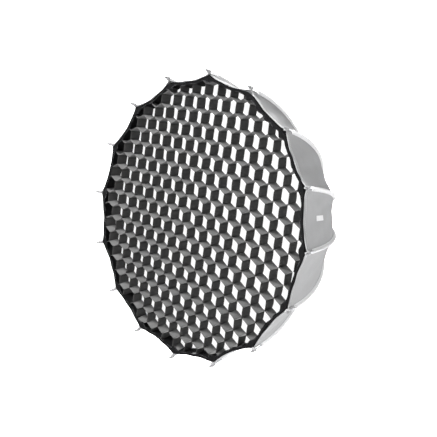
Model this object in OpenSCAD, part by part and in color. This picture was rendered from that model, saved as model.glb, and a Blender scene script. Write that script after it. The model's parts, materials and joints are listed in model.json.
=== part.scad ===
// Deep parabolic softbox with sixteen bowed rods, a honeycomb grid and a rotating bayonet mount.
// +Z is up and the light leaves towards -Y. The origin is the centre of the mount's rear face.

/* [Overall] */
// Number of ribs
ribs = 16; // [8:1:24]
// Radius of the rim at the rods
rim_radius = 457; // [250:1:700]
// Distance from the mount's rear face to the rim
rim_setback = 600; // [300:5:900]
// How far the rods bow out from the straight line between their ends
rod_bow = 68; // [20:1:120]

/* [Rods] */
// Radius of a rod's wire
rod_wire_radius = 2; // [1.5:0.1:4]
// Radius of the circle of rod hinges
hinge_radius = 80; // [70:1:90]
// Distance of the hinges from the mount's rear face
hinge_setback = 30; // [26:1:34]
// How far a rod runs on past the rim
rod_overrun = 18; // [5:1:30]
// Radius of a rod's tip cap
tip_radius = 3.2; // [2.6:0.1:5]
// Length of a rod's tip cap
tip_length = 14; // [8:1:20]

/* [Cloth] */
// Thickness of the shell cloth
cloth = 1; // [0.6:0.1:2]
// Outer radius of a rod sleeve
sleeve_radius = 4.5; // [4:0.1:6]
// Gap between a rod's axis and the middle of the cloth beside it
cloth_inset = 3.8; // [3.4:0.1:6]
// Distance of the baffle behind the rim
baffle_depth = 270; // [150:5:350]

/* [Honeycomb grid] */
// Distance between the middles of neighbouring cells
cell_pitch = 53; // [30:0.5:80]
// Thickness of a cell wall
cell_wall = 1; // [0.6:0.1:2]
// Depth of the cell walls
cell_depth = 38; // [20:1:60]
// Turn of the rows of cells, in degrees
cell_turn = -10.6; // [-30:0.1:30]
// Middle of the cell nearest the axis, to the right and up
cell_start = [-30, 45];
// Width of the border
border_width = 17; // [8:1:30]

/* [Mount] */
// Radius of the hole through the bayonet insert
bore_radius = 43; // [38:0.5:46]
// Outer radius of the bayonet spigot
spigot_radius = 48.5; // [46:0.5:50]
// Radius of the barrel that the hub turns on
barrel_radius = 60; // [56:0.5:62]
// Outer radius of the hub
hub_radius = 97; // [94:0.5:110]

/* [Hidden] */
$fn = 64;
long_arc = 256;

step = 360 / ribs;
fit_gap = 0.3;
far = 2000;

// Where the cloth of the shell and its sleeves stop, measured along a rod
sleeve_gap = 24;
cloth_gap = 48;
// Room that the flat cloths leave to the shell's corners
diffuser_room = 5;
baffle_room = 8;
border_room = 4;
// Distance from the cells' walls to the front diffuser
diffuser_gap = 8;

// Hub faces, as distances behind the origin along the light's way
spigot_end = 10;
flange_front = 14;
hub_back = 14.5;
slot_back = 22;
hub_front = 44;
retainer_front = 47.5;
slot_width = 13;
slot_inner_radius = 71;
hub_bore_radius = barrel_radius + fit_gap;
barrel_bore_radius = 52;
flange_radius = 72;
lug_radius = 54.5;
lug_depth = 5;
retainer_radius = 66;
pin_radius = 2;
root_radius = 7;
root_width = 11;
screw_ring_radius = 56;
knob_setback = 33;
grip_radius = 2.5;

// A rod's arc lies in its own plane: x outwards from the axis, y along the light's way
rim_point = [rim_radius, -rim_setback];
hinge_point = [hinge_radius, -hinge_setback];
chord = hinge_point - rim_point;
chord_length = norm(chord);
arc_radius = (chord_length * chord_length / 4 + rod_bow * rod_bow) / (2 * rod_bow);
chord_normal = [chord[1], -chord[0]] / chord_length;
arc_centre = (rim_point + hinge_point) / 2 - chord_normal * (arc_radius - rod_bow);
rim_angle = angle_of(rim_point - arc_centre);
hinge_angle = angle_of(hinge_point - arc_centre);
tip_angle = rim_angle - degrees(rod_overrun);
sleeve_from = rim_angle + degrees(sleeve_gap);
cloth_to = hinge_angle - degrees(cloth_gap);

function degrees(length) = length / arc_radius * 180 / PI;
function angle_of(v) = atan2(v[1], v[0]);
function on_arc(angle, inset = 0) = arc_centre + (arc_radius - inset) * [cos(angle), sin(angle)];
function numbered(stem, i) = str(stem, i < 10 ? "0" : "", i);
function rib_angle(i) = 90 - step * (i - 0.5);

// Centre of the circle through three points
function circle_centre(a, b, c) =
    let (u = b - a, v = c - a, area = 2 * (u[0] * v[1] - u[1] * v[0]))
    a + [v[1] * (u * u) - u[1] * (v * v), u[0] * (v * v) - v[0] * (u * u)] / area;

// The cloth's line half way between two rods, where its straight span lies nearer to the axis
flat_share = cos(step / 2);
function flattened(p) = [p[0] * flat_share, p[1]];
cloth_rim = flattened(on_arc(rim_angle, cloth_inset));
cloth_middle = flattened(on_arc((rim_angle + cloth_to) / 2, cloth_inset));
cloth_back = flattened(on_arc(cloth_to, cloth_inset));
cloth_centre = circle_centre(cloth_rim, cloth_middle, cloth_back);
cloth_radius = norm(cloth_rim - cloth_centre);

// Radius of the cloth at the rods, at a distance behind the rim
function cloth_corner(depth) =
    let (across = (arc_radius - cloth_inset), along = depth - rim_setback - arc_centre[1])
    arc_centre[0] + sqrt(across * across - along * along);

// Turns a shape from its own plane, x outwards, to a direction around the axis
module towards(angle) {
    rotate([0, -angle, 0]) children();
}

// A tube along the Y axis
module tube(outer, inner, back, front) {
    translate([0, -back, 0]) rotate([90, 0, 0]) difference() {
        cylinder(r = outer, h = front - back);
        translate([0, 0, -1]) cylinder(r = inner, h = front - back + 2);
    }
}

// A bent wire along the rods' arc
module bent_wire(radius, from, to) {
    translate([arc_centre[0], arc_centre[1], 0]) rotate([0, 0, from])
        rotate_extrude(angle = to - from, $fn = long_arc) translate([arc_radius, 0])
            circle(r = radius, $fn = 32);
}

// A flat outline with a corner at each rod
module rib_outline(corner_radius) {
    polygon([for (i = [1:ribs]) corner_radius * [cos(rib_angle(i)), sin(rib_angle(i))]]);
}

// A thin plate of that outline, facing the light's way
module rod_polygon(corner_radius, setback, thickness) {
    translate([0, -setback, 0]) rotate([90, 0, 0]) linear_extrude(height = thickness)
        rib_outline(corner_radius);
}

module mount_ring() {
    color("silver") difference() {
        union() {
            tube(spigot_radius, bore_radius, 0, spigot_end);
            tube(flange_radius, bore_radius, spigot_end, flange_front);
            tube(barrel_radius, barrel_bore_radius, flange_front, hub_front + 0.5);
            for (turn = [90, 210, 330]) bayonet_lug(turn);
        }
        for (turn = [0:60:359]) towards(turn) translate([screw_ring_radius, -flange_front, 0])
            rotate([90, 0, 0]) cylinder(r = 1.5, h = hub_front);
    }
}

// A lug of the bayonet, a block cut to the ring's outline
module bayonet_lug(turn) {
    intersection() {
        tube(lug_radius, spigot_radius - 0.5, 0, lug_depth);
        towards(turn) translate([spigot_radius - 6, -lug_depth, -15]) cube([20, lug_depth, 30]);
    }
}

module insert_retainer() {
    color("dimgray") difference() {
        tube(retainer_radius, barrel_bore_radius, hub_front + 0.5, retainer_front);
        for (turn = [0:60:359]) towards(turn) translate([screw_ring_radius, -hub_front, 0])
            rotate([90, 0, 0]) cylinder(r = 1.7, h = 10);
    }
}

module retainer_screws() {
    color("silver") for (turn = [0:60:359]) towards(turn) translate([screw_ring_radius, 0, 0]) {
        translate([0, -hub_front + 9, 0]) rotate([90, 0, 0]) cylinder(r = 1.5, h = 12.5);
        translate([0, -retainer_front, 0]) rotate([90, 0, 0]) cylinder(r = 2.8, h = 1.8);
    }
}

module speed_ring() {
    color("dimgray") difference() {
        union() {
            tube(hub_radius, hub_bore_radius, hub_back, hub_front);
            tube(hub_radius + 3, hub_bore_radius, hub_back, hub_back + 2);
        }
        for (i = [1:ribs]) towards(rib_angle(i)) {
            translate([slot_inner_radius, -hub_front - 1, -slot_width / 2])
                cube([60, hub_front - slot_back + 1, slot_width]);
            translate([hinge_radius, -hinge_setback, -11]) cylinder(r = pin_radius, h = 22);
        }
        towards(-90) translate([0, -knob_setback, 0]) rotate([0, 90, 0])
            cylinder(r = 3 + fit_gap, h = hub_radius + 20);
    }
}

module rod_pivot_pins() {
    color("silver") for (i = [1:ribs]) towards(rib_angle(i))
        translate([hinge_radius, -hinge_setback, -11]) cylinder(r = pin_radius, h = 22);
}

module lock_ring() {
    back = hub_back + 2 + fit_gap;
    color("black") union() {
        tube(hub_radius + 6, hub_radius + fit_gap, back, slot_back);
        for (turn = [step / 2:step:359]) towards(turn)
            translate([hub_radius + 5.2, -back - 0.5, 0]) rotate([90, 0, 0])
                cylinder(r = grip_radius, h = slot_back - back - 1, $fn = 32);
    }
}

module swivel_lock_knob() {
    color("black") towards(-90) translate([barrel_radius + 1, -knob_setback, 0]) rotate([0, 90, 0]) {
        cylinder(r = 3, h = 44);
        translate([0, 0, 42]) cylinder(r = 7, h = 6);
        translate([0, 0, 47]) cylinder(r = 12, h = 13);
        for (turn = [0:30:359]) rotate([0, 0, turn]) translate([12, 0, 47]) cylinder(r = 1.2, h = 13);
    }
}

module rod(i) {
    towards(rib_angle(i)) {
        color("silver") bent_wire(rod_wire_radius, tip_angle, hinge_angle - degrees(6));
        color("black") difference() {
            union() {
                translate([hinge_radius, -hinge_setback, -root_width / 2])
                    cylinder(r = root_radius, h = root_width);
                translate([hinge_radius, -hinge_setback, 0]) rotate([0, 0, hinge_angle - 90])
                    rotate([0, 90, 0]) cylinder(r = 4.5, h = 26);
            }
            translate([hinge_radius, -hinge_setback, -root_width])
                cylinder(r = pin_radius + 0.05, h = 2 * root_width);
        }
    }
}

module rod_tip(i) {
    end = on_arc(tip_angle);
    inside = tip_length - 4;
    color("darkgray") towards(rib_angle(i)) translate([end[0], end[1], 0]) rotate([0, 0, tip_angle - 90])
        rotate([0, 90, 0]) difference() {
            union() {
                translate([0, 0, -inside]) cylinder(r = tip_radius, h = tip_length - tip_radius);
                translate([0, 0, 4 - tip_radius]) sphere(r = tip_radius);
            }
            translate([0, 0, -inside - 1]) cylinder(r = rod_wire_radius + 0.08, h = inside + 1.05);
        }
}

// Half the width of a gore between two rods, a little short of the rods' planes
module gore_wedge() {
    half = far * tan(step / 2);
    translate([0.5, 0, 0]) rotate([90, 0, 0]) linear_extrude(height = far)
        polygon([[0, 0], [far, -half], [far, half]]);
}

// The gore between rod i and the next, with the sleeve of rod i sewn to it
module shell_panel(i) {
    back = on_arc(cloth_to, cloth_inset);
    color("gainsboro") difference() {
        union() {
            towards(rib_angle(i) - step / 2) intersection() {
                linear_extrude(height = far, center = true) intersection() {
                    translate(cloth_centre) difference() {
                        circle(r = cloth_radius + cloth / 2, $fn = long_arc);
                        circle(r = cloth_radius - cloth / 2, $fn = long_arc);
                    }
                    translate([0, -rim_setback]) square([far, rim_setback + back[1]]);
                }
                gore_wedge();
            }
            towards(rib_angle(i)) bent_wire(sleeve_radius, sleeve_from, cloth_to);
        }
        towards(rib_angle(i)) bent_wire(rod_wire_radius + fit_gap, rim_angle - 3, hinge_angle);
        towards(rib_angle(i + 1)) bent_wire(sleeve_radius + fit_gap, rim_angle - 3, hinge_angle);
    }
}

module rear_collar() {
    back = on_arc(cloth_to, cloth_inset);
    color("black") rotate([90, 0, 0]) rotate_extrude() polygon([
        [slot_inner_radius - 4, hub_front + 0.3],
        [slot_inner_radius - 2, hub_front + 0.3],
        [back[0] * flat_share - 2, -back[1] + 1],
        [back[0] * flat_share - 4, -back[1] + 2],
    ]);
}

module inner_diffuser() {
    color("white") rod_polygon(cloth_corner(baffle_depth) - baffle_room, rim_setback - baffle_depth, cloth);
}

module front_diffuser() {
    depth = cell_depth + diffuser_gap;
    color("white") rod_polygon(cloth_corner(depth) - diffuser_room, rim_setback - depth, cloth);
}

module grid_border() {
    outer = cloth_corner(0) - border_room;
    color("black") difference() {
        rod_polygon(outer, rim_setback - 2, 2);
        rod_polygon(outer - border_width, rim_setback - 3, 4);
    }
}

// A cell's middle, in rows turned a little from level
function cell_middle(column, row) =
    let (x = (column + row / 2) * cell_pitch, y = row * cell_pitch * sin(60))
    cell_start + [x * cos(cell_turn) - y * sin(cell_turn), x * sin(cell_turn) + y * cos(cell_turn)];
cell_corner_radius = (cell_pitch - cell_wall) / 2 / cos(30);

module honeycomb_grid() {
    corner = cloth_corner(cell_depth) - diffuser_room - 1;
    rows = ceil(corner / cell_pitch) + 6;
    color("black") translate([0, -rim_setback + 2.3 + cell_depth, 0]) rotate([90, 0, 0])
        linear_extrude(height = cell_depth) difference() {
            rib_outline(corner);
            intersection() {
                rib_outline(corner - 2 * cell_wall);
                for (row = [-rows:rows], column = [-rows:rows])
                    if (norm(cell_middle(column, row)) < corner)
                        translate(cell_middle(column, row)) rotate(30 + cell_turn)
                            circle(r = cell_corner_radius, $fn = 6);
            }
        }
}

mount_ring();
insert_retainer();
retainer_screws();
speed_ring();
rod_pivot_pins();
lock_ring();
swivel_lock_knob();
front_diffuser();
inner_diffuser();
honeycomb_grid();
grid_border();
rear_collar();
for (i = [1:ribs]) {
    rod(i);
    rod_tip(i);
    shell_panel(i);
}
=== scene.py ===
import json
import math

import bpy
import numpy as np
from mathutils import Matrix, Vector


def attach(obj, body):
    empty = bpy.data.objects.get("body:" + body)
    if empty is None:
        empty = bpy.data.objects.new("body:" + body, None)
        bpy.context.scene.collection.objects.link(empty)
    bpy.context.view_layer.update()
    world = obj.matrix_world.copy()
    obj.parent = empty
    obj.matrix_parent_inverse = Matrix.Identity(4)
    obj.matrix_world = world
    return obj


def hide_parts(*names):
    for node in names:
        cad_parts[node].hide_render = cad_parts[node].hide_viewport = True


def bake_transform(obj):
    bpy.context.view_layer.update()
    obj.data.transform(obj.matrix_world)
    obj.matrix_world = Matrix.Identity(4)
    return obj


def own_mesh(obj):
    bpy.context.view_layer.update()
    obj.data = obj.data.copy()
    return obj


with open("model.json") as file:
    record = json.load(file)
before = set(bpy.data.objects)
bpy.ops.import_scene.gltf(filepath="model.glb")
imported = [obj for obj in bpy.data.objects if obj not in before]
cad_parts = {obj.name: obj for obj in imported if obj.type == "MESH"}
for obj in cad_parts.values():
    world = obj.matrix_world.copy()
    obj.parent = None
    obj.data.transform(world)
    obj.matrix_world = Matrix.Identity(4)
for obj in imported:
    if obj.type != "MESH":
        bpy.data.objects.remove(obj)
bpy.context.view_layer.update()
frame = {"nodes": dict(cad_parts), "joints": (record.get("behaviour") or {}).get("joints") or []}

# ---------------------------------------------------------------- driving dimensions, in metres
RIBS = 16
STEP = 2 * math.pi / RIBS
RIM_RADIUS = 0.457
RIM_SETBACK = 0.600
ROD_BOW = 0.068
MOULDED_BLOCK = 0.0262
CLOTH_INSET = 0.0038
CLOTH_THICKNESS = 0.0006
CLOTH_STOPS_BEFORE_HINGE = 0.048
SLEEVE_STOPS_BEFORE_RIM = 0.034
SLEEVE_HALF_WIDTH = 0.0068
GORE_SAG_SHARE = 0.045
RIM_RETREAT = 0.005
LIP_DROP = 0.005
LIP_REACH = 0.016
LIP_LENGTH = 0.035
CREASES = 15
CREASE_HEIGHT = 0.0016
CREASE_REACH = 0.07
CREASE_START = 0.03
RIPPLE_HEIGHT = 0.0011
HEM_WIDTH = 0.012
LABEL_GORE = 4
LABEL_FROM_RIM = 0.088
LABEL_LENGTH = 0.060
STITCH_PITCH = 0.0046
STITCH_LENGTH = 0.0030
STITCH_RADIUS = 0.00032

CELL_PITCH = 0.0534
CELL_ROW = 0.0455
CELL_DEPTH = 0.038
CELL_TURN = math.radians(-10.8)
CELL_LEAN = 0.008
CELL_START = (-0.0305, 0.0479)
GRID_DROOP = 0.002
CELL_TILT = 0.08
CELL_WALL = 0.0007
CELL_BULGE = 0.0007
CELLS_ACROSS = 25
CELLS_BEHIND_RIM = 0.0012
DOUBLED_GAP = 0.0011
CELL_JITTER = 0.00055
SKIRT_CORNER = 0.450
SKIRT_DEPTH = 0.042
SKIRT_LEAN = 0.20
LEAN_FROM = 0.36
BAND_WIDTH = 0.0100
BAND_CORNER_WIDTH = 0.012
BAND_CORNER_REACH = 0.085
LOOSE_GORE = 2
LOOSE_BAND = 0.008
DIFFUSER_DEPTH = 0.046
BAFFLE_DEPTH = 0.270

VIEW_TURN = math.radians(44.45)
VIEW_DISTANCE = 2.330
SHARP_ANGLE = math.radians(40)
Y = np.array([0.0, 1.0, 0.0])
random = np.random.default_rng(16)

# ---------------------------------------------------------------- the rods' arc
hinge = next(j for j in frame["joints"] if j["name"] == "rod_01_fold")["pos_m"]
RIM_POINT = np.array([RIM_RADIUS, -RIM_SETBACK])
HINGE_POINT = np.array([math.hypot(hinge[0], hinge[2]), hinge[1]])
CHORD = HINGE_POINT - RIM_POINT
CHORD_LENGTH = float(np.linalg.norm(CHORD))
ARC_RADIUS = (CHORD_LENGTH ** 2 / 4 + ROD_BOW ** 2) / (2 * ROD_BOW)
CHORD_NORMAL = np.array([CHORD[1], -CHORD[0]]) / CHORD_LENGTH
ARC_CENTRE = (RIM_POINT + HINGE_POINT) / 2 - CHORD_NORMAL * (ARC_RADIUS - ROD_BOW)
RIM_ANGLE = math.atan2(*(RIM_POINT - ARC_CENTRE)[::-1])
HINGE_ANGLE = math.atan2(*(HINGE_POINT - ARC_CENTRE)[::-1])
CLOTH_END = HINGE_ANGLE - CLOTH_STOPS_BEFORE_HINGE / ARC_RADIUS


def rib_angle(i):
    return math.pi / 2 - STEP * (i - 0.5)


def outward(angle):
    return np.array([math.cos(angle), 0.0, math.sin(angle)])


def sideways(angle):
    """The way round the axis towards the next rib."""
    return np.array([math.sin(angle), 0.0, -math.cos(angle)])


def arc_point(arc, inset=0.0):
    """(distance from the axis, place along it) on the rods' arc."""
    reach = ARC_RADIUS - inset
    return ARC_CENTRE[0] + reach * np.cos(arc), ARC_CENTRE[1] + reach * np.sin(arc)


def on_rib(angle, arc, inset=0.0):
    out, along = arc_point(arc, inset)
    return np.multiply.outer(out, outward(angle)) + np.multiply.outer(along, Y)


def arc_radius_at(depth):
    """Distance of the shell's corner from the axis, at a depth behind the rim."""
    reach = ARC_RADIUS - CLOTH_INSET
    along = depth - RIM_SETBACK - ARC_CENTRE[1]
    return ARC_CENTRE[0] + math.sqrt(reach ** 2 - along ** 2)


# ---------------------------------------------------------------- shader expressions
class Value:
    """A shader socket that takes part in Python arithmetic."""

    def __init__(self, paint, socket):
        self.paint, self.socket = paint, socket

    def _math(self, operation, *others):
        return self.paint.node("ShaderNodeMath", {"operation": operation},
                               dict(enumerate((self,) + others)))

    def __add__(self, other):
        return self._math("ADD", other)

    def __mul__(self, other):
        return self._math("MULTIPLY", other)

    def __sub__(self, other):
        return self._math("SUBTRACT", other)

    def __rsub__(self, other):
        return (self * -1.0) + other

    def __gt__(self, other):
        return self._math("GREATER_THAN", other)

    __radd__, __rmul__ = __add__, __mul__

    def __pow__(self, other):
        return self._math("POWER", other)

    def sine(self):
        return self._math("SINE")

    def absolute(self):
        return self._math("ABSOLUTE")

    def clamped(self):
        made = self._math("ADD", 0.0)
        made.socket.node.use_clamp = True
        return made


class Paint:
    """A material under construction, with a Principled shader at its end."""

    def __init__(self, name, **constants):
        self.material = bpy.data.materials.new(name)
        self.material.use_nodes = True
        self.tree = self.material.node_tree
        self.shader = self.tree.nodes["Principled BSDF"]
        for socket, value in constants.items():
            self.shader.inputs[socket.replace("_", " ")].default_value = value

    def node(self, kind, settings=None, inputs=None, output=0):
        made = self.tree.nodes.new(kind)
        settings = dict(settings or {})
        stops = settings.pop("stops", None)
        for key, value in settings.items():
            setattr(made, key, value)
        if stops:
            ramp = made.color_ramp
            while len(ramp.elements) < len(stops):
                ramp.elements.new(0.5)
            for element, (place, shade) in zip(ramp.elements, stops):
                element.position, element.color = place, (*shade, 1.0)
        for key, value in (inputs or {}).items():
            if isinstance(value, Value):
                self.tree.links.new(value.socket, made.inputs[key])
            else:
                made.inputs[key].default_value = value
        return Value(self, made.outputs[output])

    def mix(self, factor, first, second):
        """Two colours mixed by a value."""
        ends = {0: factor, 6: first, 7: second}
        ends = {k: (*v, 1.0) if isinstance(v, tuple) and len(v) == 3 else v for k, v in ends.items()}
        return self.node("ShaderNodeMix", {"data_type": "RGBA"}, ends, output=2)

    def place(self):
        return self.node("ShaderNodeTexCoord", output=3)

    def cloth(self):
        return self.node("ShaderNodeUVMap", {"uv_map": "cloth"})

    def parts(self, vector):
        split = self.node("ShaderNodeSeparateXYZ", inputs={0: vector})
        return [Value(self, split.socket.node.outputs[k]) for k in range(3)]

    def noise(self, where, scale, detail=3.0, roughness=0.5):
        return self.node("ShaderNodeTexNoise", None, {
            "Vector": where, "Scale": scale, "Detail": detail, "Roughness": roughness})

    def voronoi(self, where, scale):
        return self.node("ShaderNodeTexVoronoi", None, {"Vector": where, "Scale": scale})

    def weave(self, where, pitch):
        """A plain weave's height, from -1 to 1, with threads that far apart."""
        x, y, _ = self.parts(where)
        turns = 2 * math.pi / pitch
        return (x * turns).sine() * (y * turns).sine()

    def bump(self, height, distance, strength=1.0, under=None):
        inputs = {"Height": height, "Distance": distance, "Strength": strength}
        if under is not None:
            inputs["Normal"] = under
        return self.node("ShaderNodeBump", None, inputs)

    def set(self, **sockets):
        for name, value in sockets.items():
            self.tree.links.new(value.socket, self.shader.inputs[name.replace("_", " ")])
        return self.material


def shell_cloth():
    """Coated pale cloth outside: fine weave, ripstop lines, soft creases and rubbed patches."""
    p = Paint("shell_cloth", Specular_IOR_Level=0.05)
    cloth, place = p.cloth(), p.place()
    x, y, _ = p.parts(cloth)
    weave = p.weave(cloth, 0.0011)
    ripstop = ((x * (math.pi / 0.006)).sine().absolute() ** 24.0) + \
              ((y * (math.pi / 0.006)).sine().absolute() ** 24.0)
    crease = p.noise(place, 22.0, 4.0, 0.55)
    rubbed = p.noise(place, 90.0, 5.0, 0.6)
    shade = (crease * 0.5 + rubbed * 0.5).clamped()
    colour = p.mix(shade, (0.172, 0.173, 0.175), (0.218, 0.219, 0.221))
    normal = p.bump(crease, 0.0016, 0.6)
    normal = p.bump(weave * 0.5 + ripstop * 0.6, 0.00012, 0.7, normal)
    return p.set(Base_Color=colour, Roughness=rubbed * 0.2 + 0.68, Normal=normal)


def silver_lining():
    """Silvered cloth inside: crinkled foil over a weave."""
    p = Paint("silver_lining", Metallic=1.0)
    place = p.place()
    pebble = p.voronoi(place, 420.0)
    crinkle = p.noise(place, 60.0, 4.0, 0.6)
    colour = p.mix(crinkle, (0.62, 0.63, 0.65), (0.84, 0.85, 0.87))
    normal = p.bump(pebble + crinkle, 0.0006, 0.8)
    return p.set(Base_Color=colour, Roughness=crinkle * 0.3 + 0.2, Normal=normal)


def sleeve_cloth():
    """The rods' sleeves: heavier, paler cloth with a visible cross grain."""
    p = Paint("sleeve_cloth", Sheen_Weight=0.05, Specular_IOR_Level=0.15)
    cloth, place = p.cloth(), p.place()
    weave = p.weave(cloth, 0.0013)
    soft = p.noise(place, 45.0, 4.0, 0.6)
    colour = p.mix(soft, (0.38, 0.38, 0.383), (0.46, 0.46, 0.463))
    normal = p.bump(soft, 0.0012, 0.5)
    normal = p.bump(weave, 0.00015, 0.8, normal)
    return p.set(Base_Color=colour, Roughness=soft * 0.2 + 0.55, Normal=normal)


def hem_tape():
    """Grosgrain tape round the shell's rim, with ribs across it."""
    p = Paint("hem_tape", Sheen_Weight=0.15)
    cloth, place = p.cloth(), p.place()
    x, _, _ = p.parts(cloth)
    ribs = (x * (2 * math.pi / 0.0012)).sine()
    soft = p.noise(place, 70.0, 3.0, 0.5)
    colour = p.mix(soft, (0.13, 0.13, 0.132), (0.17, 0.17, 0.172))
    normal = p.bump(ribs + soft * 2.0, 0.00018, 0.8)
    return p.set(Base_Color=colour, Roughness=soft * 0.2 + 0.6, Normal=normal)


def thread(name, shade):
    p = Paint(name, Sheen_Weight=0.3)
    twist = p.noise(p.place(), 900.0, 2.0, 0.5)
    colour = p.mix(twist, tuple(0.8 * s for s in shade), tuple(min(1.0, 1.1 * s) for s in shade))
    return p.set(Base_Color=colour, Roughness=twist * 0.2 + 0.55)


def diffuser_cloth(name, painted_glow_strength):
    """White diffusion cloth, a fine weave over a dark base, with a painted glow: its emission makes it
    shine white though no lamp lies behind it.
    """
    p = Paint(name, Roughness=0.75, Sheen_Weight=0.1, Emission_Strength=painted_glow_strength)
    cloth, place = p.cloth(), p.place()
    weave = p.weave(cloth, 0.0010)
    cloudy = p.noise(place, 9.0, 3.0, 0.5)
    colour = p.mix(cloudy, (0.15, 0.15, 0.15), (0.18, 0.18, 0.18))
    # painted glow: an even emission colour stands in for lamp light passing through the cloth
    glow = p.mix(cloudy, (0.93, 0.93, 0.93), (1.0, 1.0, 1.0))
    normal = p.bump(cloudy * 3.0 + weave * 0.3, 0.0006, 0.5)
    return p.set(Base_Color=colour, Emission_Color=glow, Normal=normal)


def grid_cloth(name, low, high):
    """Black coated strip of the honeycomb, satin, and darkest towards the corners where walls meet: partly
    the sewn joint, partly painted shade in the crease.
    """
    p = Paint(name, Specular_IOR_Level=0.14)
    place = p.place()
    from_seam, _, _ = p.parts(p.cloth())
    # partly a dark sewn joint and partly painted shade: darker within 5.5 mm of the cell corners
    seam = (1.0 - from_seam * (1 / 0.0055)).clamped() ** 1.5
    fine = p.noise(place, 1400.0, 2.0, 0.6)
    soft = p.noise(place, 38.0, 4.0, 0.55)
    colour = p.mix(soft, low, high)
    colour = p.mix(seam, colour, (0.004, 0.004, 0.004))
    normal = p.bump(soft, 0.0016, 0.6)
    normal = p.bump(fine, 0.00012, 0.6, normal)
    return p.set(Base_Color=colour, Roughness=soft * 0.2 + 0.40, Normal=normal)


def binding_cloth():
    """Black binding of the grid: twill, slightly lighter where its folds are raised."""
    p = Paint("binding_cloth", Specular_IOR_Level=0.03)
    cloth, place = p.cloth(), p.place()
    x, y, _ = p.parts(cloth)
    twill = ((x + y) * (2 * math.pi / 0.0016)).sine()
    soft = p.noise(place, 55.0, 4.0, 0.6)
    colour = p.mix(soft, (0.0008, 0.0008, 0.0009), (0.0028, 0.0028, 0.0030))
    normal = p.bump(soft, 0.0020, 0.7)
    normal = p.bump(twill, 0.00018, 0.8, normal)
    return p.set(Base_Color=colour, Roughness=soft * 0.2 + 0.55, Normal=normal)


def rod_steel():
    """Drawn spring steel beyond the black moulded block that holds the rod's root."""
    p = Paint("rod_steel", Specular_IOR_Level=0.5)
    place = p.place()
    x, y, z = p.parts(place)
    across = (x * x + z * z) ** 0.5
    lean = np.array([math.sin(HINGE_ANGLE), -math.cos(HINGE_ANGLE)])
    root = HINGE_POINT + MOULDED_BLOCK * lean
    beyond = (across - float(root[0])) * float(lean[0]) + (y - float(root[1])) * float(lean[1])
    is_rod = beyond > 0.0
    drawn = p.noise(place, 240.0, 3.0, 0.6)
    grain = p.noise(place, 1600.0, 2.0, 0.5)
    steel = p.mix(drawn, (0.50, 0.51, 0.53), (0.72, 0.73, 0.75))
    plastic = p.mix(drawn, (0.018, 0.018, 0.02), (0.032, 0.032, 0.035))
    normal = p.bump(grain, 0.00012, 0.5)
    return p.set(Base_Color=p.mix(is_rod, plastic, steel), Metallic=is_rod,
                 Roughness=drawn * 0.15 + 0.48 - is_rod * 0.2, Normal=normal)


def moulded_plastic(name, low, high):
    """Moulded plastic with a spark-eroded grain and lightly handled faces."""
    p = Paint(name, Specular_IOR_Level=0.45)
    place = p.place()
    grain = p.voronoi(place, 1500.0)
    worn = p.noise(place, 60.0, 4.0, 0.6)
    normal = p.bump(grain, 0.00010, 0.6)
    return p.set(Base_Color=p.mix(worn, low, high), Roughness=worn * 0.2 + 0.37, Normal=normal)


def powder_coat():
    """Fine matt powder coat with a faint orange peel."""
    p = Paint("powder_coat", Specular_IOR_Level=0.5)
    place = p.place()
    peel = p.noise(place, 700.0, 2.0, 0.5)
    rubbed = p.noise(place, 35.0, 4.0, 0.65)
    colour = p.mix(rubbed, (0.020, 0.020, 0.022), (0.036, 0.036, 0.039))
    return p.set(Base_Color=colour, Roughness=rubbed * 0.18 + 0.38, Normal=p.bump(peel, 0.00025, 0.6))


def machined_alloy():
    """Turned alloy: fine rings round the mount's axis under a satin finish."""
    p = Paint("machined_alloy", Metallic=1.0)
    place = p.place()
    x, y, z = p.parts(place)
    across = (x * x + z * z) ** 0.5
    rings = ((across + y) * (2 * math.pi / 0.0007)).sine()
    scuffs = p.noise(place, 120.0, 5.0, 0.65)
    colour = p.mix(scuffs, (0.56, 0.57, 0.58), (0.74, 0.75, 0.76))
    return p.set(Base_Color=colour, Roughness=scuffs * 0.22 + 0.22, Normal=p.bump(rings, 0.00003, 0.5))


def bright_steel():
    p = Paint("bright_steel", Metallic=1.0)
    scuffs = p.noise(p.place(), 500.0, 4.0, 0.6)
    colour = p.mix(scuffs, (0.60, 0.60, 0.62), (0.80, 0.80, 0.82))
    return p.set(Base_Color=colour, Roughness=scuffs * 0.2 + 0.2, Normal=p.bump(scuffs, 0.00005, 0.4))


def pale_floor(away):
    """Matt white sweep, lit from within behind the object: away is the direction it brightens in."""
    p = Paint("pale_floor", Roughness=0.9, Emission_Strength=0.8)
    place = p.place()
    soft = p.noise(place, 2.0, 2.0, 0.5)
    x, y, _ = p.parts(place)
    behind = ((x * float(away[0]) + y * float(away[1])) * 0.7 + 0.75).clamped()
    glow = p.mix(behind, (0.0, 0.0, 0.0), (1.0, 1.0, 1.0))
    return p.set(Base_Color=p.mix(soft, (0.86, 0.86, 0.86), (0.88, 0.88, 0.88)), Emission_Color=glow)


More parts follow.
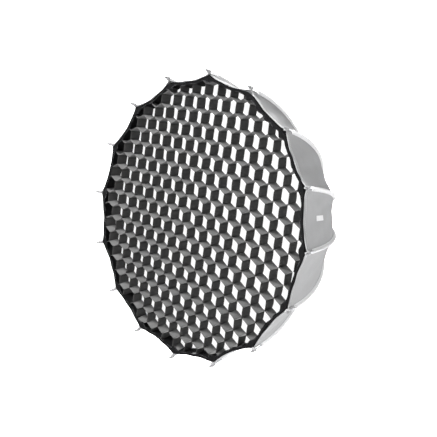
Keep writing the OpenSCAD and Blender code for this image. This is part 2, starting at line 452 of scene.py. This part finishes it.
# ---------------------------------------------------------------- meshes
class Shape:
    """Vertices, faces, finishes and cloth coordinates that grow into one mesh."""

    def __init__(self):
        self.points, self.faces, self.finishes, self.cloth = [], [], [], []

    def patch(self, grid, cloth, finish=0, loop=False):
        """A sheet of quads over a grid of points; loop joins its last column to its first."""
        rows, columns = grid.shape[:2]
        first = sum(len(p) for p in self.points)
        self.points.append(grid.reshape(-1, 3))
        self.cloth.append(cloth.reshape(-1, 2))
        for r in range(rows - 1):
            for c in range(columns if loop else columns - 1):
                d = (c + 1) % columns
                a, b = first + r * columns, first + (r + 1) * columns
                self.faces.append((a + c, a + d, b + d, b + c))
                self.finishes.append(finish)
        return first

    def shell(self, grid, cloth, thickness, finishes=(0, 0, 0)):
        """A closed sheet: an outer face, an inner face and the edge between them."""
        down, across = np.gradient(grid, axis=0), np.gradient(grid, axis=1)
        normal = np.cross(across, down)
        normal /= np.linalg.norm(normal, axis=2, keepdims=True) + 1e-12
        rows, columns = grid.shape[:2]
        outer = self.patch(grid + normal * thickness / 2, cloth, finishes[0])
        inner = self.patch((grid - normal * thickness / 2)[:, ::-1], cloth[:, ::-1], finishes[1])
        ring = [(r, 0) for r in range(rows)] + [(rows - 1, c) for c in range(1, columns)]
        ring += [(r, columns - 1) for r in range(rows - 2, -1, -1)]
        ring += [(0, c) for c in range(columns - 2, 0, -1)]
        top = [outer + r * columns + c for r, c in ring]
        under = [inner + r * columns + columns - 1 - c for r, c in ring]
        for k in range(len(ring)):
            n = (k + 1) % len(ring)
            self.faces.append((top[k], top[n], under[n], under[k]))
            self.finishes.append(finishes[2])

    def tube(self, grid, cloth, finish=0):
        """A closed loft: each row is a ring, and both ends are capped."""
        rows, columns = grid.shape[:2]
        first = self.patch(grid, cloth, finish, loop=True)
        last = first + (rows - 1) * columns
        self.faces.append(tuple(first + c for c in range(columns - 1, -1, -1)))
        self.faces.append(tuple(last + c for c in range(columns)))
        self.finishes += [finish, finish]

    def take(self, mesh, finish=0, ends=None):
        """Adds another mesh's faces, all of one finish. With ends, the ends (x, z) of the lines it was
        grown on, its first cloth coordinate is the distance to the nearest of them."""
        first = sum(len(p) for p in self.points)
        co = np.zeros(len(mesh.vertices) * 3)
        mesh.vertices.foreach_get("co", co)
        co = co.reshape(-1, 3)
        self.points.append(co)
        if ends is None:
            self.cloth.append(co[:, :2])
        else:
            near = np.linalg.norm(co[:, None, ::2] - ends[None], axis=2).min(axis=1)
            self.cloth.append(np.stack([near, co[:, 1]], axis=1))
        for polygon in mesh.polygons:
            self.faces.append(tuple(first + v for v in polygon.vertices))
            self.finishes.append(finish)

    def droop(self):
        """Lets everything so far hang a little low, as the grid does in the rim."""
        self.points = [p - np.array([0.0, 0.0, GRID_DROOP]) for p in self.points]

    def build(self, name, materials):
        mesh = bpy.data.meshes.new(name)
        points, cloth = np.concatenate(self.points), np.concatenate(self.cloth)
        mesh.from_pydata(points.tolist(), [], self.faces)
        for material in materials:
            mesh.materials.append(material)
        mesh.polygons.foreach_set("material_index", self.finishes)
        corners = np.zeros(len(mesh.loops), np.int32)
        mesh.loops.foreach_get("vertex_index", corners)
        mesh.uv_layers.new(name="cloth").data.foreach_set("uv", cloth[corners].astype(np.float32).ravel())
        mesh.polygons.foreach_set("use_smooth", [True] * len(mesh.polygons))
        mesh.set_sharp_from_angle(angle=SHARP_ANGLE)
        mesh.update()
        piece = bpy.data.objects.new(name, mesh)
        bpy.context.scene.collection.objects.link(piece)
        return piece


def plain_area(grid):
    """Area of a grid of points."""
    a = np.cross(grid[1:, :-1] - grid[:-1, :-1], grid[:-1, 1:] - grid[:-1, :-1])
    b = np.cross(grid[1:, :-1] - grid[1:, 1:], grid[:-1, 1:] - grid[1:, 1:])
    return float((np.linalg.norm(a, axis=2) + np.linalg.norm(b, axis=2)).sum() / 2)


# ---------------------------------------------------------------- geometry trees
class Tree:
    """A geometry node tree with named inputs, which ends in Realize Instances and Set Material."""

    def __init__(self, name, sizes):
        self.group = bpy.data.node_groups.new(name, "GeometryNodeTree")
        interface = self.group.interface
        interface.new_socket("Geometry", in_out="INPUT", socket_type="NodeSocketGeometry")
        for size, value in sizes.items():
            made = interface.new_socket(size, in_out="INPUT", socket_type="NodeSocketFloat")
            made.default_value = value
        interface.new_socket("Material", in_out="INPUT", socket_type="NodeSocketMaterial")
        interface.new_socket("Geometry", in_out="OUTPUT", socket_type="NodeSocketGeometry")
        self.start = self.group.nodes.new("NodeGroupInput")
        self.end = self.group.nodes.new("NodeGroupOutput")

    def node(self, kind, settings=None, inputs=None):
        made = self.group.nodes.new(kind)
        for key, value in (settings or {}).items():
            setattr(made, key, value)
        for key, value in (inputs or {}).items():
            if isinstance(value, bpy.types.NodeSocket):
                self.group.links.new(value, made.inputs[key])
            else:
                made.inputs[key].default_value = value
        return made

    def size(self, name):
        return self.start.outputs[name]

    def finish(self, geometry):
        whole = self.node("GeometryNodeRealizeInstances", None, {0: geometry})
        dressed = self.node("GeometryNodeSetMaterial", None,
                            {"Geometry": whole.outputs[0], "Material": self.size("Material")})
        self.group.links.new(dressed.outputs[0], self.end.inputs[0])
        return self

    def grow(self, lines, material, **sizes):
        """The tree's mesh over chains of points."""
        mesh = bpy.data.meshes.new("lines")
        points, edges = [], []
        for line in lines:
            edges += [(len(points) + k, len(points) + k + 1) for k in range(len(line) - 1)]
            points += [tuple(p) for p in line]
        mesh.from_pydata(points, edges, [])
        carrier = bpy.data.objects.new("lines", mesh)
        bpy.context.scene.collection.objects.link(carrier)
        modifier = carrier.modifiers.new("tree", "NODES")
        modifier.node_group = self.group
        for item in self.group.interface.items_tree:
            if item.in_out == "INPUT" and item.name in sizes:
                modifier[item.identifier] = sizes[item.name]
            elif item.in_out == "INPUT" and item.name == "Material":
                modifier[item.identifier] = material
        bpy.context.view_layer.update()
        shown = carrier.evaluated_get(bpy.context.evaluated_depsgraph_get())
        grown = bpy.data.meshes.new_from_object(shown)
        bpy.data.objects.remove(carrier)
        return grown


def stitch_tree():
    """Short round stitches at even steps along every line."""
    t = Tree("stitches", {"Pitch": STITCH_PITCH, "Length": STITCH_LENGTH, "Radius": STITCH_RADIUS})
    curve = t.node("GeometryNodeMeshToCurve", None, {"Mesh": t.start.outputs["Geometry"]})
    places = t.node("GeometryNodeCurveToPoints", {"mode": "LENGTH"},
                    {"Curve": curve.outputs[0], "Length": t.size("Pitch")})
    ball = t.node("GeometryNodeMeshIcoSphere", None, {"Radius": 1.0, "Subdivisions": 1})
    half = t.node("ShaderNodeMath", {"operation": "MULTIPLY"}, {0: t.size("Length"), 1: 0.5})
    scale = t.node("ShaderNodeCombineXYZ", None,
                   {"X": t.size("Radius"), "Y": t.size("Radius"), "Z": half.outputs[0]})
    placed = t.node("GeometryNodeInstanceOnPoints", None, {
        "Points": places.outputs["Points"], "Instance": ball.outputs["Mesh"],
        "Rotation": places.outputs["Rotation"], "Scale": scale.outputs[0]})
    return t.finish(placed.outputs[0])


def wall_tree():
    """Upright strips over flat lines: each line is given a thickness and a depth, and near the
    rim the strips lean in behind, as the skirt does."""
    t = Tree("cell_walls", {"Thickness": CELL_WALL, "Depth": CELL_DEPTH, "Lean": SKIRT_LEAN,
                            "Lean from": LEAN_FROM, "Lean to": SKIRT_CORNER})

    def sum_of(operation, first, second):
        return t.node("ShaderNodeMath", {"operation": operation}, {0: first, 1: second}).outputs[0]

    curve = t.node("GeometryNodeMeshToCurve", None, {"Mesh": t.start.outputs["Geometry"]})
    upright = t.node("GeometryNodeSetCurveNormal", {"mode": "Z_UP"}, {"Curve": curve.outputs[0]})
    profile = t.node("GeometryNodeCurvePrimitiveQuadrilateral", None,
                     {"Width": t.size("Thickness"), "Height": t.size("Depth")})
    strip = t.node("GeometryNodeCurveToMesh", None, {
        "Curve": upright.outputs[0], "Profile Curve": profile.outputs[0], "Fill Caps": True})
    place = t.node("GeometryNodeInputPosition")
    parts = t.node("ShaderNodeSeparateXYZ", None, {0: place.outputs[0]})
    level = t.node("ShaderNodeCombineXYZ", None, {"X": parts.outputs["X"], "Y": parts.outputs["Y"]})
    out = t.node("ShaderNodeVectorMath", {"operation": "LENGTH"}, {0: level.outputs[0]})
    share = t.node("ShaderNodeMapRange", {"interpolation_type": "SMOOTHSTEP"}, {
        "Value": out.outputs["Value"], "From Min": t.size("Lean from"), "From Max": t.size("Lean to")})
    behind = sum_of("ADD", parts.outputs["Z"], sum_of("MULTIPLY", t.size("Depth"), 0.5))
    inward = sum_of("MULTIPLY", sum_of("MULTIPLY", behind, t.size("Lean")), share.outputs[0])
    outward_way = t.node("ShaderNodeVectorMath", {"operation": "NORMALIZE"}, {0: level.outputs[0]})
    shift = t.node("ShaderNodeVectorMath", {"operation": "SCALE"}, {
        0: outward_way.outputs[0], "Scale": sum_of("MULTIPLY", inward, -1.0)})
    moved = t.node("GeometryNodeSetPosition", None, {
        "Geometry": strip.outputs[0], "Offset": shift.outputs[0]})
    return t.finish(moved.outputs[0])


# ---------------------------------------------------------------- finishes
SHELL, LINING, SLEEVE = shell_cloth(), silver_lining(), sleeve_cloth()
HEM, PALE_THREAD = hem_tape(), thread("pale_thread", (0.42, 0.42, 0.43))
BLACK_THREAD = thread("black_thread", (0.06, 0.06, 0.065))
# both diffusers carry a painted glow, strong on the front one and faint on the baffle
PAINTED_GLOW_WHITE, FAINT_PAINTED_GLOW_WHITE = diffuser_cloth("diffuser_cloth", 0.92), diffuser_cloth("baffle_cloth", 0.12)
GRID = grid_cloth("grid_cloth", (0.044, 0.044, 0.044), (0.076, 0.0755, 0.075))
# painted shade: the doubled upright walls take a darker copy of the same grid cloth
SHADED_DOUBLED_GRID = grid_cloth("doubled_grid_cloth_shaded", (0.014, 0.014, 0.014), (0.028, 0.0275, 0.027))
BINDING = binding_cloth()
STEEL = rod_steel()
BLACK_PLASTIC = moulded_plastic("black_plastic", (0.016, 0.016, 0.018), (0.032, 0.032, 0.035))
TIP_PLASTIC = moulded_plastic("tip_plastic", (0.08, 0.08, 0.082), (0.13, 0.13, 0.133))
COAT, ALLOY, BRIGHT = powder_coat(), machined_alloy(), bright_steel()
STITCHES, WALLS = stitch_tree(), wall_tree()


# ---------------------------------------------------------------- shell
def shell_grid(i, arcs, shares):
    """Points of gore i's middle surface at these arc angles and shares of the way to the next rib."""
    here, there = rib_angle(i), rib_angle(i + 1)
    middle = (here + there) / 2
    arcs, shares = np.meshgrid(arcs, shares, indexing="ij")
    bow = 4 * shares * (1 - shares)
    reach = np.clip((CLOTH_END - arcs) / (CLOTH_END - RIM_ANGLE), 0, 1)
    arcs = arcs + RIM_RETREAT * bow * reach ** 8 / ARC_RADIUS
    out, along = arc_point(arcs, CLOTH_INSET)
    ends = [np.multiply.outer(out, outward(a)) for a in (here, there)]
    flat = ends[0] * (1 - shares[..., None]) + ends[1] * shares[..., None]
    width = out * 2 * math.sin(STEP / 2)
    length = (arcs - RIM_ANGLE) * ARC_RADIUS
    fan = np.zeros_like(out)
    for side, start in ((0, shares), (1, 1 - shares)):
        away = np.hypot(start * width, length)
        turn = np.arctan2(start * width, length + 1e-6)
        fan += np.sin(turn * CREASES + 1.7 * i + side) * np.exp(-away / CREASE_REACH) \
            * np.minimum(away / CREASE_START, 1)
    ripple = np.sin(2 * math.pi * (2.2 * shares + 1.3 * length / 0.3) + 2.1 * i) * bow
    lift = -GORE_SAG_SHARE * width * bow + CREASE_HEIGHT * fan * bow + RIPPLE_HEIGHT * ripple
    from_rod = np.minimum(shares, 1 - shares) * width
    lift -= LIP_DROP * np.exp(-(length / LIP_LENGTH) ** 2) * (1 - np.exp(-from_rod / LIP_REACH))
    normal = np.multiply.outer(np.cos(arcs), outward(middle)) + np.multiply.outer(np.sin(arcs), Y)
    cloth = np.stack([(shares - 0.5) * width, length], axis=2)
    return flat + np.multiply.outer(along, Y) + normal * lift[..., None], cloth


def follow_gore(piece):
    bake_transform(piece)


def gore(i):
    """One gore of the shell: pale cloth outside, silver inside, and a taped hem along the rim."""
    shape = Shape()
    grid, cloth = shell_grid(i, np.linspace(RIM_ANGLE, CLOTH_END, 72), np.linspace(0.004, 0.996, 26))
    shape.shell(grid, cloth, CLOTH_THICKNESS, (0, 1, 0))
    hem_arcs = RIM_ANGLE + np.linspace(-0.0006, HEM_WIDTH, 6) / ARC_RADIUS
    hem, hem_cloth = shell_grid(i, hem_arcs, np.linspace(0.01, 0.99, 40))
    shape.shell(hem, hem_cloth, CLOTH_THICKNESS + 0.0012, (2, 2, 2))
    seam_arc = RIM_ANGLE + 0.8 * HEM_WIDTH / ARC_RADIUS
    seam, _ = shell_grid(i, np.array([seam_arc]), np.linspace(0.03, 0.97, 40))
    middle = rib_angle(i) - STEP / 2
    shape.take(STITCHES.grow([seam[0] + 0.0009 * outward(middle)], PALE_THREAD), 3)
    piece = shape.build(f"gore_{i:02d}_cloth", [SHELL, LINING, HEM, PALE_THREAD])
    area = plain_area(grid)
    follow_gore(piece)
    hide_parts(f"shell_panel_{i:02d}")


def blank_label():
    """A plain woven label sewn to the fourth gore, with nothing printed on it."""
    shape = Shape()
    arcs = RIM_ANGLE + np.linspace(LABEL_FROM_RIM, LABEL_FROM_RIM + LABEL_LENGTH, 14) / ARC_RADIUS
    grid, cloth = shell_grid(LABEL_GORE, arcs, np.linspace(0.44, 0.53, 10))
    middle = rib_angle(LABEL_GORE) - STEP / 2
    grid = grid + 0.0009 * outward(middle)
    shape.shell(grid, cloth, 0.0006)
    piece = shape.build("blank_label", [SLEEVE])
    follow_gore(piece)
    plain_area(grid)


def sleeve(i):
    """The channel that holds rod i: a tube of cloth with a stitched flange on either side."""
    shape = Shape()
    arcs = np.linspace(RIM_ANGLE + SLEEVE_STOPS_BEFORE_RIM / ARC_RADIUS, CLOTH_END, 90)
    half = SLEEVE_HALF_WIDTH
    section = np.array([
        (-half, -0.0066), (-half, -0.0046), (-0.0046, -0.0036), (-0.0040, -0.0004),
        (-0.0029, 0.0021), (-0.0012, 0.0034), (0.0012, 0.0034), (0.0029, 0.0021),
        (0.0040, -0.0004), (0.0046, -0.0036), (half, -0.0046), (half, -0.0066), (0.0, -0.0046)])
    steps = np.arange(len(arcs))[:, None]
    spots = np.arange(len(section))[None, :]
    wave = 0.00035 * np.sin(steps * 0.9 + spots * 1.3 + i) + 0.0003 * np.sin(steps * 0.37 + i * 2.0)
    wave = wave * (np.abs(section[:, 0]) < 0.0045)[None, :]
    side, out = section[:, 0][None, :], section[:, 1][None, :] + wave
    angle = rib_angle(i)
    base = on_rib(angle, arcs)
    normal = np.multiply.outer(np.cos(arcs), outward(angle)) + np.multiply.outer(np.sin(arcs), Y)
    grid = base[:, None, :] + out[..., None] * normal[:, None, :] + side[..., None] * -sideways(angle)
    girth = np.concatenate([[0], np.cumsum(np.linalg.norm(np.diff(section, axis=0), axis=1))])
    cloth = np.stack(np.broadcast_arrays(girth[None, :], (arcs * ARC_RADIUS)[:, None]), axis=2)
    shape.tube(grid, cloth)
    rows = []
    for across in (-1, 1):
        place = base - 0.0041 * normal + across * (half - 0.0014) * sideways(angle)
        rows.append(place[2:-2])
    shape.take(STITCHES.grow(rows, PALE_THREAD), 1)
    piece = shape.build(f"rod_sleeve_{i:02d}", [SLEEVE, PALE_THREAD])
    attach(piece, f"rod_{i:02d}")


def corner_loop(i):
    """The webbing loop that ties the shell's corner to the end of rod i."""
    shape = Shape()
    angle = rib_angle(i)
    side = sideways(angle)
    ring = np.linspace(0, 2 * math.pi, 24, endpoint=False)
    rows = []
    for place, reach in ((-0.0095, 0.0042), (-0.0095, 0.0048), (-0.0060, 0.0050),
                         (-0.0025, 0.0050), (0.0010, 0.0048), (0.0010, 0.0042)):
        arc = RIM_ANGLE + place / ARC_RADIUS
        normal = math.cos(arc) * outward(angle) + math.sin(arc) * Y
        tail = np.clip(-np.sin(ring), 0, 1) ** 3
        radius = reach * (1 + 0.9 * tail)
        width = reach * (1 - 0.25 * tail)
        rows.append(on_rib(angle, arc) + (radius * np.sin(ring))[:, None] * normal
                    + (width * np.cos(ring))[:, None] * side)
    grid = np.array(rows)
    cloth = np.stack(np.broadcast_arrays(ring[None, :] * 0.005, np.arange(6)[:, None] * 0.002), axis=2)
    shape.tube(grid[:, ::-1], cloth)
    tongue = np.linspace(0.022, -0.003, 12)
    arcs = RIM_ANGLE + tongue / ARC_RADIUS
    normal = np.multiply.outer(np.cos(arcs), outward(angle)) + np.multiply.outer(np.sin(arcs), Y)
    spine = on_rib(angle, arcs) - 0.0052 * normal
    corners = ((-1, -1), (1, -1), (1, 1), (-1, 1))
    half_width = 0.0068 - 0.0026 * np.linspace(0, 1, 12) ** 2
    strip = np.stack([spine + a * half_width[:, None] * side + b * CLOTH_THICKNESS * normal
                      for a, b in corners], axis=1)
    cloth = np.stack(np.broadcast_arrays(np.arange(4)[None, :] * 0.004, tongue[:, None]), axis=2)
    shape.tube(strip[:, ::-1], cloth)
    piece = shape.build(f"corner_loop_{i:02d}", [HEM])
    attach(piece, f"rod_{i:02d}")


# ---------------------------------------------------------------- front
border_pull = random.uniform(0.008, 0.0135, RIBS + 1)
border_wave = random.uniform(0.0002, 0.0022, RIBS + 1)
corner_soft = np.append(random.uniform(0.0, 0.007, RIBS), 0.0)
corner_soft[RIBS] = corner_soft[0]


def rim_line(i, shares):
    """(outwards, sideways) of the grid's edge in gore i's plane, which bows in between its corners."""
    flat = SKIRT_CORNER * math.cos(STEP / 2)
    bow = 4 * shares * (1 - shares)
    out = flat - border_pull[i] * bow + border_wave[i] * np.sin(shares * 17 + 2.3 * i) * bow
    out = out - corner_soft[i - 1] * np.exp(-shares / 0.07) - corner_soft[i] * np.exp(-(1 - shares) / 0.07)
    return out, (2 * shares - 1) * out * math.tan(STEP / 2)


def fold_away(piece):
    """The piece rides on the hub, with a mesh of its own."""
    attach(piece, "hub")
    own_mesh(piece)


def wedge_grid(i, depth, edge, rows, columns, cup):
    """A wedge of a flat cloth from the axis to its edge, cupped a little between the ribs."""
    middle = rib_angle(i) - STEP / 2
    reach, shares = np.meshgrid(np.linspace(0.004, 1, rows), np.linspace(0, 1, columns), indexing="ij")
    bow = 4 * shares * (1 - shares)
    out = reach * edge * (1 - cup * bow * reach ** 6)
    side = (2 * shares - 1) * reach * edge * math.tan(STEP / 2)
    place = -RIM_SETBACK + depth + 0.0012 * np.sin(reach * 9 + i) * bow
    grid = np.multiply.outer(out, outward(middle)) + np.multiply.outer(side, sideways(middle)) + \
        np.multiply.outer(place, Y)
    return grid, np.stack([side, out], axis=2)


def cloth_wedge(i, name, node, material, depth, clear, cup):
    edge = (arc_radius_at(depth) - clear) * math.cos(STEP / 2)
    grid, cloth = wedge_grid(i, depth, edge, 20, 14, cup)
    shape = Shape()
    shape.shell(grid[:, ::-1], cloth[:, ::-1], 0.0005)
    piece = shape.build(f"{name}_{i:02d}", [material])
    fold_away(piece)
    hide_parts(node)
    plain_area(grid)


def border(i):
    """The grid's black binding: a skirt into the box, a rolled edge and a band wider at the corners."""
    shape = Shape()
    middle = rib_angle(i) - STEP / 2
    shares = np.linspace(0, 1, 45)
    out, side = rim_line(i, shares)
    corners = np.exp(-(shares / BAND_CORNER_REACH) ** 2) + np.exp(-((1 - shares) / BAND_CORNER_REACH) ** 2)
    band = BAND_WIDTH + BAND_CORNER_WIDTH * corners + 0.0008 * np.sin(shares * 31 + i)
    if i == LOOSE_GORE:
        band = band + LOOSE_BAND * np.sin(shares * math.pi) * (0.8 + 0.35 * np.sin(shares * 25))
    bead, thick, tuck, knee, root = 0.0024, 0.0010, 0.0045, 0.020, 0.0052
    path = [(tuck + SKIRT_LEAN * SKIRT_DEPTH, SKIRT_DEPTH, 0), (tuck + SKIRT_LEAN * knee, knee, 0),
            (tuck + 0.0012, 0.0055, 0), (0.0030, 0.0012, 0)]
    path += [(bead - bead * math.cos(t), -0.0012 - bead * math.sin(t), 0)
             for t in np.linspace(-0.6, 2.2, 8)]
    path += [(root, -0.0026, 0), (root, -0.0022, 0.5), (root, -0.0016, 1)]
    back = [(root, -0.0002, 1), (root, -0.0008, 0.5), (0.0062, -0.0012, 0), (0.0068, 0.0058, 0),
            (tuck + SKIRT_LEAN * knee + thick, knee, 0),
            (tuck + SKIRT_LEAN * SKIRT_DEPTH + thick, SKIRT_DEPTH, 0)]
    rings = []
    for inset, depth, across in path + back:
        inward = inset + across * (band - root)
        wave = 0.0007 * np.sin(shares * 24 + i * 1.9) * across
        rings.append(np.multiply.outer(out - inward, outward(middle))
                     + np.multiply.outer(side * (out - inward) / out, sideways(middle))
                     + np.multiply.outer(depth - RIM_SETBACK + wave, Y))
    grid = np.stack(rings, axis=1)
    run = np.concatenate([[0], np.cumsum(np.linalg.norm(np.diff(grid[20], axis=0), axis=1))])
    cloth = np.stack(np.broadcast_arrays(run[None, :], side[:, None]), axis=2)
    shape.tube(grid, cloth)
    seam_out = out - band + 0.0016
    seam = np.multiply.outer(seam_out, outward(middle)) + \
        np.multiply.outer(side * seam_out / out, sideways(middle)) - (RIM_SETBACK + 0.0019) * Y
    shape.take(STITCHES.grow([seam[1:-1]], BLACK_THREAD), 1)
    shape.droop()
    piece = shape.build(f"grid_binding_{i:02d}", [BINDING, BLACK_THREAD])
    fold_away(piece)
    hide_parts("grid_border")


def sector_of(x, z):
    turn = (math.pi / 2 - math.atan2(z, x)) % (2 * math.pi)
    return int(((turn / STEP) + 0.5) % RIBS) or RIBS


def inside_grid(point):
    """How far a point lies inside the grid's edge."""
    i = sector_of(*point)
    middle = rib_angle(i) - STEP / 2
    out = point[0] * math.cos(middle) + point[1] * math.sin(middle)
    side = point[0] * math.sin(middle) - point[1] * math.cos(middle)
    half = out * math.tan(STEP / 2)
    share = np.clip(side / (2 * half) + 0.5, 0, 1)
    edge, _ = rim_line(i, np.array([share]))
    return float(edge[0]) - 0.0045 - out


def cell_lines():
    """The honeycomb's walls as flat lines (x, z) cut at the grid's edge: for each gore, the single
    walls and the doubled ones."""
    corners, walls = {}, {i: ([], []) for i in range(1, RIBS + 1)}
    turned = np.array([[math.cos(CELL_TURN), -math.sin(CELL_TURN)],
                       [math.sin(CELL_TURN), math.cos(CELL_TURN)]])

    def cell_corner(column, row, k):
        """Where three walls meet, a little off its true place; k counts round from the right."""
        turn = math.pi / 6 + k * math.pi / 3
        across, up = column + row / 2 + math.cos(turn) / math.sqrt(3), row + math.sin(turn) / 1.5
        key = (round(across * 2), round(up * 3))
        if key not in corners:
            x, z = np.array(CELL_START) + turned @ np.array([across * CELL_PITCH, up * CELL_ROW])
            corners[key] = np.array([x + CELL_LEAN * z, z]) + random.normal(0, CELL_JITTER, 2)
        return corners[key]

    for row, column in np.ndindex(CELLS_ACROSS, CELLS_ACROSS):
        for k in range(3):
            cell = column - CELLS_ACROSS // 2, row - CELLS_ACROSS // 2
            a, b = cell_corner(*cell, k), cell_corner(*cell, k + 1)
            bulge = random.normal(0, CELL_BULGE)
            across = np.array([a[1] - b[1], b[0] - a[0]]) / np.linalg.norm(b - a)
            reach = [s for s in np.linspace(0, 1, 41) if inside_grid(a + (b - a) * s) > 0]
            if len(reach) < 4:
                continue
            doubled = k == 2
            steps = np.linspace(reach[0], reach[-1], 6)
            ease = np.sin(np.pi * steps) ** 0.5 if doubled else np.zeros(6)
            middle = a + (b - a) * (reach[0] + reach[-1]) / 2
            for shift in ((-DOUBLED_GAP / 2, DOUBLED_GAP / 2) if doubled else (0.0,)):
                line = [a + (b - a) * s + across * (bulge * 4 * s * (1 - s) + shift * e)
                        for s, e in zip(steps, ease)]
                walls[sector_of(*middle)][doubled].append([(p[0], p[1], 0.0) for p in line])
    return walls


def honeycomb(i, walls):
    """The honeycomb's walls that belong to gore i, stood up along the light's way."""
    shape = Shape()
    half = CELL_DEPTH / 2
    for finish, lines in enumerate(walls):
        mesh = WALLS.grow(lines, GRID)
        mesh.transform(Matrix.Translation((0, -RIM_SETBACK + CELLS_BEHIND_RIM + half, half * CELL_TILT))
                       @ Matrix(((1, 0, 0, 0), (0, 0, 1, 0), (0, 1, CELL_TILT, 0), (0, 0, 0, 1))))
        mesh.flip_normals()
        ends = np.array([(p[0], p[1]) for line in lines for p in (line[0], line[-1])])
        shape.take(mesh, finish, ends)
    shape.droop()
    piece = shape.build(f"honeycomb_{i:02d}", [GRID, SHADED_DOUBLED_GRID])
    fold_away(piece)
    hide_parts("honeycomb_grid")


# ---------------------------------------------------------------- back
def rear_collar():
    """The gathered black collar between the hub's face and the shell's back."""
    shape = Shape()
    turns, steps = 192, 12
    inner, outer = 0.0675, 0.1125
    grid, cloth = np.zeros((steps, turns + 1, 3)), np.zeros((steps, turns + 1, 2))
    for r, share in enumerate(np.linspace(0, 1, steps)):
        for c in range(turns + 1):
            turn = 2 * math.pi * c / turns
            gather = 0.0009 * math.sin(turn * 48) * (1 - share) + 0.0004 * math.sin(turn * 80 + share * 5)
            radius = inner + (outer - inner) * share
            place = -0.0450 - 0.0155 * share ** 1.3 - abs(gather)
            grid[r, c] = radius * outward(turn) + place * Y
            cloth[r, c] = (turn * radius, share * (outer - inner))
    shape.shell(grid, cloth, 0.0006)
    piece = shape.build("collar_cloth", [BINDING])
    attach(piece, "hub")
    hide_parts("rear_collar")
    plain_area(grid)


def dress_cad():
    """Finishes for the hard parts, which keep the shapes that the frame gives them."""
    looks = {"mount_ring": ALLOY, "insert_retainer": COAT, "retainer_screws": BRIGHT, "speed_ring": COAT,
             "rod_pivot_pins": BRIGHT, "lock_ring": BLACK_PLASTIC, "swivel_lock_knob": BLACK_PLASTIC}
    for i in range(1, RIBS + 1):
        looks[f"rod_{i:02d}"] = STEEL
        looks[f"rod_tip_{i:02d}"] = TIP_PLASTIC
    for name, material in looks.items():
        piece = frame["nodes"][name]
        piece.data.materials.clear()
        piece.data.materials.append(material)


# ---------------------------------------------------------------- studio
def studio():
    """A pale sweep, soft lights and the camera."""
    floor, back, half = -0.62, 3.2, 5.0
    cove = [(math.sin(t), 1.0 - math.cos(t)) for t in np.linspace(0, math.pi / 2, 14)]
    run = [(-back, 5.0)] + [(1.0 - back - y, z) for y, z in cove[::-1]]
    run += [(back - 1.0 + y, z) for y, z in cove] + [(back, 5.0)]
    grid = np.array([[(x, y, floor + z) for x in (-half * 1.6, half * 1.6)] for y, z in run])
    turned = VIEW_TURN
    spin = np.array([[math.cos(turned), -math.sin(turned), 0],
                     [math.sin(turned), math.cos(turned), 0], [0, 0, 1]])
    shape = Shape()
    shape.patch(grid @ spin.T, grid[..., :2])
    sweep = shape.build("sweep", [pale_floor((-math.sin(turned), math.cos(turned)))])

    def soft_light(name, place, size, power, target=(0.0, -0.4, 0.0)):
        lamp = bpy.data.lights.new(name, "AREA")
        lamp.shape, lamp.size, lamp.energy = "DISK", size, power
        light = bpy.data.objects.new(name, lamp)
        light.location = place
        light.rotation_euler = (Vector(target) - Vector(place)).to_track_quat("-Z", "Y").to_euler()
        bpy.context.scene.collection.objects.link(light)

    soft_light("key", (-0.3, -2.3, 1.9), 1.0, 390, (0.0, -0.6, 0.0))
    soft_light("side", (2.8, 0.6, 0.2), 1.6, 34)

    world = bpy.data.worlds.new("studio")
    world.use_nodes = True
    world.node_tree.nodes["Background"].inputs["Color"].default_value = (1.0, 1.0, 1.0, 1.0)
    world.node_tree.nodes["Background"].inputs["Strength"].default_value = 0.20
    bpy.context.scene.world = world
    bpy.context.scene.view_settings.view_transform = "Standard"

    yaw, pitch, roll = -VIEW_TURN, math.radians(-1.91), math.radians(-0.85)
    ahead = np.array([math.sin(yaw) * math.cos(pitch), math.cos(yaw) * math.cos(pitch), math.sin(pitch)])
    level = np.array([math.cos(yaw), -math.sin(yaw), 0.0])
    upright = np.cross(level, ahead)
    right = level * math.cos(roll) + upright * math.sin(roll)
    up = upright * math.cos(roll) - level * math.sin(roll)
    lens = bpy.data.cameras.new("camera")
    lens.lens, lens.sensor_width, lens.shift_x = 61.05, 36.0, 0.0627
    camera = bpy.data.objects.new("camera", lens)
    place = -RIM_SETBACK * Y - VIEW_DISTANCE * ahead
    axes = [[right[k], up[k], -ahead[k], place[k]] for k in range(3)]
    camera.matrix_world = Matrix(axes + [[0, 0, 0, 1]])
    bpy.context.scene.collection.objects.link(camera)
    bpy.context.scene.camera = camera


studio()
walls_by_gore = cell_lines()
for i in range(1, RIBS + 1):
    gore(i)
    sleeve(i)
    corner_loop(i)
    border(i)
    honeycomb(i, walls_by_gore[i])
    cloth_wedge(i, "front_diffuser", "front_diffuser", PAINTED_GLOW_WHITE, DIFFUSER_DEPTH, 0.006, 0.02)
    cloth_wedge(i, "baffle", "inner_diffuser", FAINT_PAINTED_GLOW_WHITE, BAFFLE_DEPTH, 0.012, 0.03)
blank_label()
rear_collar()
dress_cad()
